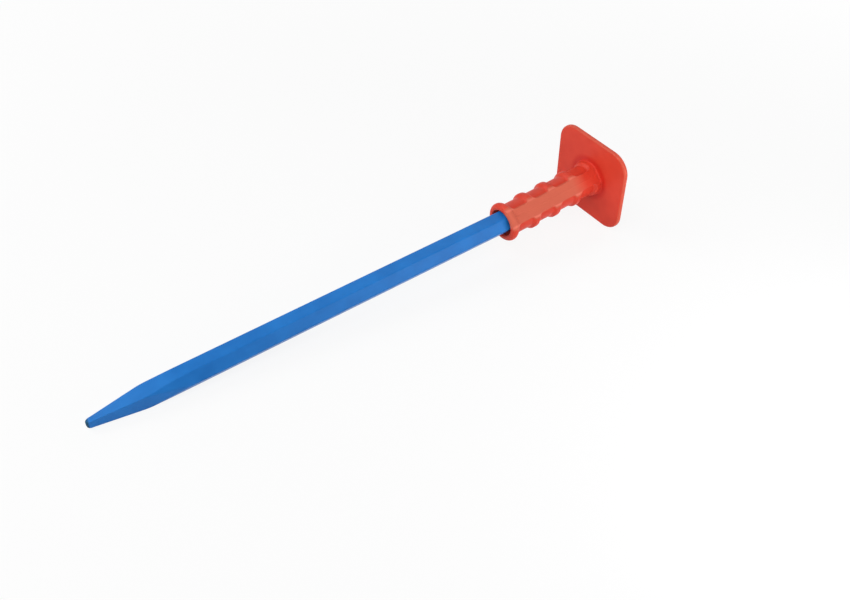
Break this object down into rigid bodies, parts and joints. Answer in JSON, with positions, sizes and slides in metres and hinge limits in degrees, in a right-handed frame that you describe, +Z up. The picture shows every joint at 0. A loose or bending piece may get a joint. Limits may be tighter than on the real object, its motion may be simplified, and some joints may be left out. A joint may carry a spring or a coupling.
{
  "type": "masonry chisel",
  "caption": "Hexagonal steel masonry point chisel with a moulded plastic hand guard: a finger-grooved grip that flares into a square shield below the struck head.",
  "frame": {"origin": "middle of the tool's footprint, on the surface that it lies on", "axes": "+X along the tool's length in plan, from the point towards the struck face; +Z up, with the tool lying on its point and on the lower edge of the guard's plate"},
  "size_m": [0.4994, 0.082, 0.0816],
  "materials": {
    "blue_paint": "glossy blue enamel on forged steel",
    "red_plastic": "soft red moulded plastic, satin on the plate and grained on the grip's bands"
  },
  "bodies": {
    "bar": {"chisel_bar": "blue_paint"},
    "guard": {"hand_guard": "red_plastic"}
  },
  "joints": [
    {"name": "guard_slide", "type": "slide", "parent": "bar", "child": "guard", "axis": [0.9976, 0, 0.0686], "range_m": [-0.295, 0.125]}
  ]
}
